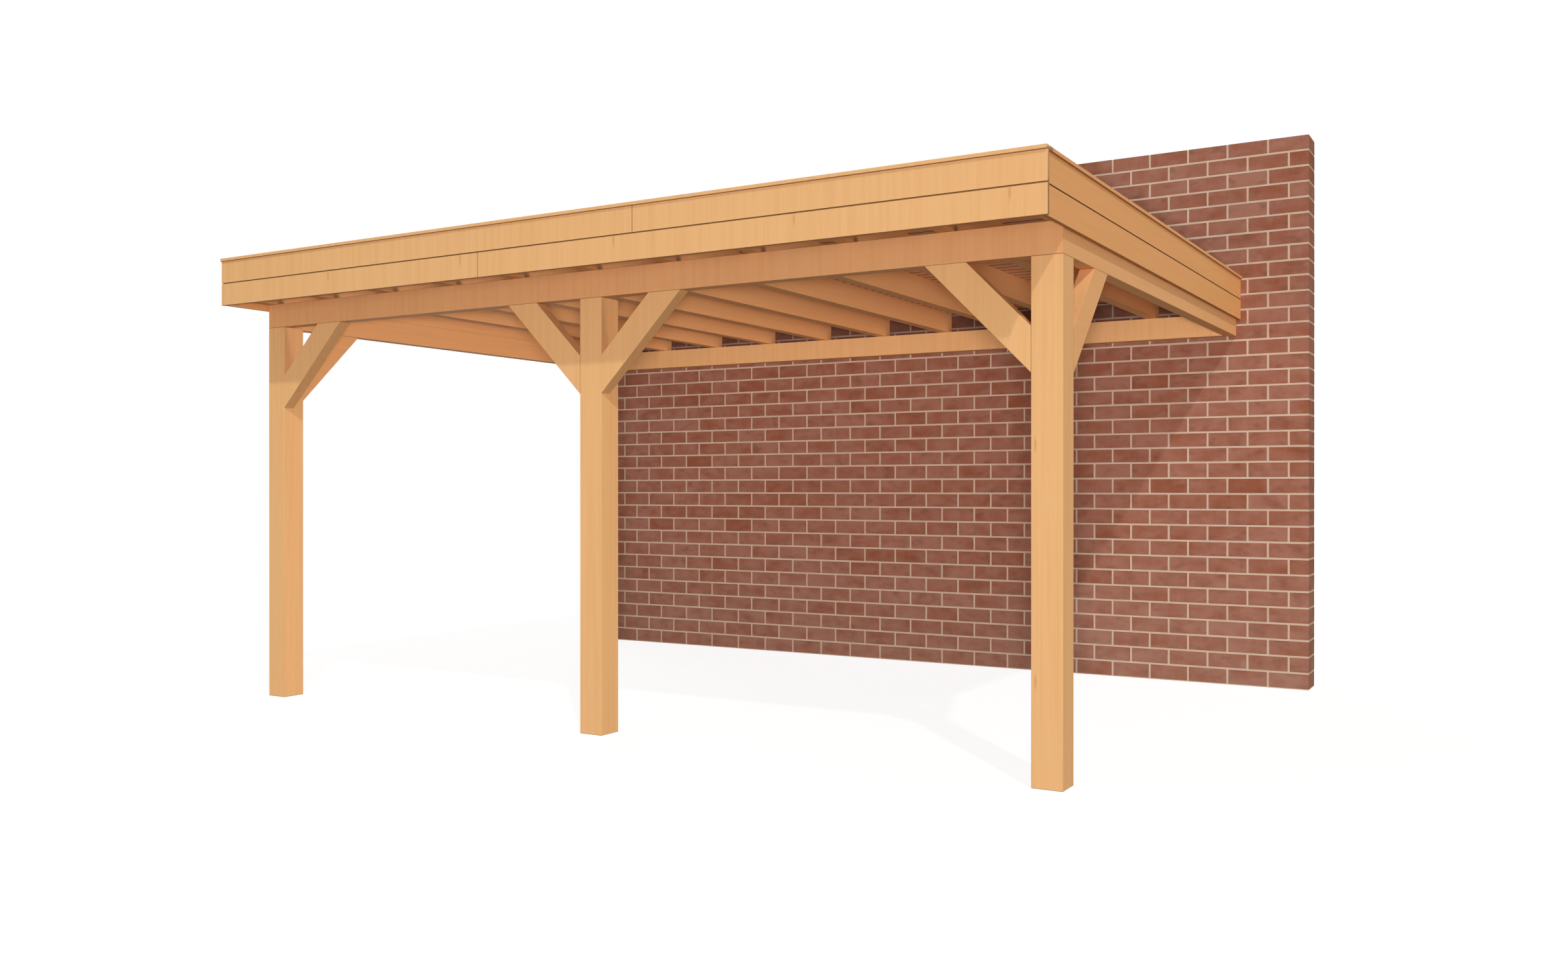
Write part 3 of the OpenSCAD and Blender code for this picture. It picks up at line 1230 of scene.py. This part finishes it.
@dataclass
class BrickWall(SubAssembly):
    """Wall of two leaves in stretcher bond, whose end bricks go through the wall in every course."""

    courses: int = 35
    low_courses: int = 14
    low_gauge: float = 103.0
    bricks: int = 23
    joint: float = 9.5
    corner: float = 2.2
    face_draw: float = 0.6
    wander: float = 1.0
    tone_spread: float = 0.15
    mortar_recess: float = 1.5
    mortar_radius: float = 1.0

    def layout(self) -> tuple[Array, Array]:
        """Lowest and highest corners of all bricks, course by course from the ground.

        The low courses are laid to a slightly taller gauge, and the rest share what is left.

        Returns:
            Two arrays of shape (bricks, 3), in metres.
        """
        low, high = node_box("brick_wall")
        size = (high - low) / MM
        pitch = (size[0] + self.joint) / self.bricks
        full = pitch - self.joint
        half = (full - self.joint) / 2
        leaf = (size[1] - self.joint) / 2
        steps = (0, self.low_courses, self.courses)
        heights = (0.0, self.low_courses * self.low_gauge, size[2] + self.joint / 2)
        beds = np.interp(np.arange(self.courses + 1), steps, heights)
        whole = np.arange(self.bricks) * pitch
        shifted = half + self.joint + np.arange(self.bricks - 1) * pitch
        front, back, through = (0, leaf), (size[1] - leaf, size[1]), (0, size[1])
        runs = {
            0: [(whole[1:-1], full, front), (whole[1:-1], full, back), (whole[[0, -1]], full, through)],
            1: [(shifted, full, front), (shifted, full, back)],
        }
        runs[1].append((np.array([0.0, size[0] - half]), half, through))
        lows, highs = [], []
        for course in range(self.courses):
            base, top = beds[course] + self.joint / 2, beds[course + 1] - self.joint / 2
            for starts, length, (near, far) in runs[(self.courses - 1 - course) % 2]:
                ones = np.ones_like(starts)
                lows.append(np.stack([starts, near * ones, base * ones], 1))
                highs.append(np.stack([starts + length, far * ones, top * ones], 1))
        return low + np.concatenate(lows) * MM, low + np.concatenate(highs) * MM

    def brickwork(self) -> Surface:
        """All bricks as one surface.

        Each is an eight-sided outline, a rectangle with cut corners that wander by a seeded millimetre,
        carried through the wall's depth between two rings drawn in by the corner cut.

        Returns:
            The bricks as one surface.
        """
        draw = np.random.default_rng(SEED)
        low, high = (corner[:, None] for corner in self.layout())
        cut = self.corner * MM
        share_x = np.array([0, 1, 1, 1, 1, 0, 0, 0])
        share_z = np.array([0, 0, 0, 1, 1, 1, 1, 0])
        cut_x = np.array([1, -1, 0, 0, -1, 1, 0, 0]) * cut
        cut_z = np.array([0, 0, 1, -1, 0, 0, -1, 1]) * cut
        count = len(low)
        inward = draw.uniform(0, self.wander * MM, (2, count, 8))
        x = low[..., 0] + share_x * (high - low)[..., 0] + cut_x + (1 - 2 * share_x) * inward[0]
        z = low[..., 2] + share_z * (high - low)[..., 2] + cut_z + (1 - 2 * share_z) * inward[1]
        draws = np.array([self.face_draw, 0, 0, self.face_draw])[None, :, None] * cut
        ring_x = x[:, None] + draws * np.sign(0.5 - share_x)
        ring_z = z[:, None] + draws * np.sign(0.5 - share_z)
        near = low[..., 1] + draw.uniform(0, self.wander * MM, (count, 1))
        far = high[..., 1] - draw.uniform(0, self.wander * MM, (count, 1))
        depth = np.concatenate([near, near + cut, far - cut, far], 1)[..., None]
        rings = np.stack([ring_x, depth + 0 * ring_x, ring_z], -1)
        wall = lofted(rings, turned=True)
        middle, reach = ((high + low) / 2)[:, None], ((high - low) / 2)[:, None]
        wall.values["spot"] = ((rings - middle) / reach).reshape(-1, 3)
        each = rings[0, ..., 0].size
        wall.values["piece"] = np.repeat(draw.uniform(0, PIECE_NUMBERS, count), each)
        wall.values["tone"] = np.repeat(draw.normal(0.0, self.tone_spread, count), each)
        return wall

    def mortar(self) -> Surface:
        """Block that fills the joints, a little behind the faces of the bricks.

        Returns:
            The block as a closed surface.
        """
        low, high = node_box("brick_wall")
        back = self.mortar_recess * MM
        low, high = low + (back, back, 0), high - (back, back, back)
        size = (high - low) / MM
        outline = bar_outline(size[1], size[2], self.mortar_radius)
        return timber_length(outline, Lie.along_front(low), high[0] - low[0])

    def build(self) -> None:
        """Makes the bricks and the mortar."""
        self.add("stretcher_bond_bricks", self.brickwork(), "brick_wall")
        self.add("flush_mortar", self.mortar())

    def dress(self, materials: Materials) -> None:
        """Gives the bricks and the mortar their finishes.

        Args:
            materials: All materials by name.
        """
        bricks, mortar = self.pieces
        self.coat([bricks], materials[BRICK.name], Slot.BRICK)
        self.coat([mortar], materials[MORTAR.name], Slot.BRICK)


# Studio


class Throw(Enum):
    """How a lamp throws its light: from far off, or from a place near the object."""

    FAR = "SUN"
    NEAR = "POINT"


@dataclass(frozen=True)
class Lamp:
    """A soft lamp: its place, or for a far lamp the direction to it, its colour, level and softness."""

    name: str
    throw: Throw
    place: tuple[float, float, float]
    colour: str
    level: float
    softness: float

    def far(self, light: Light, lamp: Piece) -> None:
        """Turns a far lamp to shine from its direction. A level of 1 shows a white face as white.

        Args:
            light: Light of the lamp.
            lamp: Object that holds it.
        """
        light.energy = self.level * math.pi
        light.angle = math.radians(self.softness)
        axis = np.array(self.place) / np.linalg.norm(self.place)
        lamp.rotation_euler = (math.acos(axis[2]), 0.0, math.atan2(axis[0], -axis[1]))

    def near(self, light: Light, lamp: Piece) -> None:
        """Stands a near lamp in its place. Its light doesn't fade with distance, as from a wide screen.

        Args:
            light: Light of the lamp.
            lamp: Object that holds it.
        """
        light.energy = NEAR_ENERGY
        light.shadow_soft_size = self.softness * MM
        lamp.location = np.array(self.place) * MM
        lamp.visible_camera = False
        light.use_nodes = True
        tree = light.node_tree
        tree.nodes.clear()
        steady = add_node(tree, "LightFalloff", {"Strength": self.level}).outputs["Constant"]
        glow = add_node(tree, "Emission", {"Strength": steady}).outputs[0]
        add_node(tree, "OutputLight", {"Surface": glow})

    def build(self) -> None:
        """Makes the lamp."""
        light = bpy.data.lights.new(self.name, self.throw.value)
        light.color = linear(self.colour)[:3]
        lamp = bpy.data.objects.new(self.name, light)
        {Throw.FAR: self.far, Throw.NEAR: self.near}[self.throw](light, lamp)
        bpy.context.scene.collection.objects.link(lamp)


@dataclass
class Studio:
    """Camera, lamps, white surroundings and a pale floor that keeps the shadow."""

    camera_turn: tuple[float, float, float] = (89.946, 0.0, 30.549)
    lens: float = 29.94
    sensor: float = 36.0
    ambient: str = "#FFFBF3"
    ambient_level: float = 0.265
    floor_reach: float = 60000.0
    floor_colour: str = "#837F7A"
    floor_glow: float = 0.885
    floor_shadow: float = 0.2
    lamps: tuple[Lamp, ...] = (
        Lamp("sun", Throw.FAR, (0.459, -0.5, 0.735), "#F6FFFC", 0.345, 1.6),
        Lamp("screen_by_camera", Throw.NEAR, CAMERA_PLACE, "#FFFAF8", 0.445, 250.0),
        Lamp("screen_at_left", Throw.NEAR, (-2500.0, -7000.0, 1800.0), "#FFFAF2", 0.155, 1000.0),
        Lamp("screen_at_right", Throw.NEAR, (9500.0, 1700.0, 1000.0), "#FFEED6", 0.2, 1500.0),
        Lamp("back_fill", Throw.FAR, (-0.7, 0.6, 0.5), "#FFFFFF", 0.42, 40.0),
    )

    def camera(self) -> None:
        """Makes the camera at the photograph's place, looking almost level."""
        data = bpy.data.cameras.new("camera")
        data.lens = self.lens
        data.sensor_width = self.sensor
        camera = bpy.data.objects.new("camera", data)
        camera.location = np.array(CAMERA_PLACE) * MM
        camera.rotation_euler = np.radians(self.camera_turn)
        bpy.context.scene.collection.objects.link(camera)
        bpy.context.scene.camera = camera

    def seen(self, tree: Tree) -> Socket:
        """Socket that is 1 for a ray from the camera, a mirror or a pane, and 0 for lighting rays.

        Args:
            tree: Node tree of the world or a material.

        Returns:
            The socket.
        """
        rays = add_node(tree, "LightPath", {}).outputs
        total = add_node(
            tree, "Math", {0: rays["Is Camera Ray"], 1: rays["Is Glossy Ray"]}, operation="ADD"
        )
        inputs = {0: total.outputs[0], 1: rays["Is Transmission Ray"]}
        return add_node(tree, "Math", inputs, operation="ADD", use_clamp=True).outputs[0]

    def world(self) -> None:
        """Makes surroundings that look white and light the object softly."""
        world = bpy.data.worlds.new("white_surroundings")
        world.use_nodes = True
        tree = world.node_tree
        tree.nodes.clear()
        soft = {"Color": linear(self.ambient), "Strength": self.ambient_level}
        light = add_node(tree, "Background", soft).outputs[0]
        white = add_node(tree, "Background", {"Color": (1, 1, 1, 1), "Strength": 1.0}).outputs[0]
        mixed = add_node(tree, "MixShader", {0: self.seen(tree), 1: light, 2: white}).outputs[0]
        add_node(tree, "OutputWorld", {"Surface": mixed})
        bpy.context.scene.world = world

    def floor(self) -> None:
        """Makes a pale floor, one flat face, that glows almost white and still shows the shadow."""
        material, tree = new_material("pale_floor")
        matt = add_node(tree, "BsdfDiffuse", {"Color": linear(self.floor_colour)}).outputs[0]
        glow = add_node(tree, "Emission", {"Strength": self.floor_glow}).outputs[0]
        faint = add_node(tree, "BsdfDiffuse", {"Color": (*[self.floor_shadow] * 3, 1)}).outputs[0]
        shown = add_node(tree, "AddShader", {0: glow, 1: faint}).outputs[0]
        mixed = add_node(tree, "MixShader", {0: self.seen(tree), 1: matt, 2: shown}).outputs[0]
        add_node(tree, "OutputMaterial", {"Surface": mixed})
        reach = self.floor_reach * MM
        corners = [(-reach, -reach, 0), (reach, -reach, 0), (reach, reach, 0), (-reach, reach, 0)]
        mesh = bpy.data.meshes.new("floor")
        mesh.from_pydata(corners, [], [(0, 1, 2, 3)])
        mesh.materials.append(material)
        floor = bpy.data.objects.new("floor", mesh)
        bpy.context.scene.collection.objects.link(floor)

    def build(self) -> None:
        """Makes everything round the object."""
        self.camera()
        self.world()
        self.floor()
        for lamp in self.lamps:
            lamp.build()
        bpy.context.scene.view_settings.view_transform = "Standard"


def main() -> None:
    """Makes the finishes and the studio, then builds and dresses the veranda in the order of its making."""
    logging.basicConfig(level=logging.INFO, format="%(name)s: %(message)s")
    timbers = (FRONT_TIMBER, SIDE_TIMBER, BEAM_TIMBER, RAFTER_TIMBER, DECK_TIMBER)
    finishes = (*timbers, BRICK, MORTAR, RUBBER)
    materials = {finish.name: finish.build() for finish in finishes}
    Studio().build()
    assemblies = (BrickWall(), Posts(), RingBeam(), Braces(), Rafters(), RoofDeck(), RoofSheet(), Fascia())
    for assembly in assemblies:
        assembly.build()
        assembly.dress(materials)
    log.info("%d nodes are dressed", len(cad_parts))


if __name__ == "__main__":
    main()
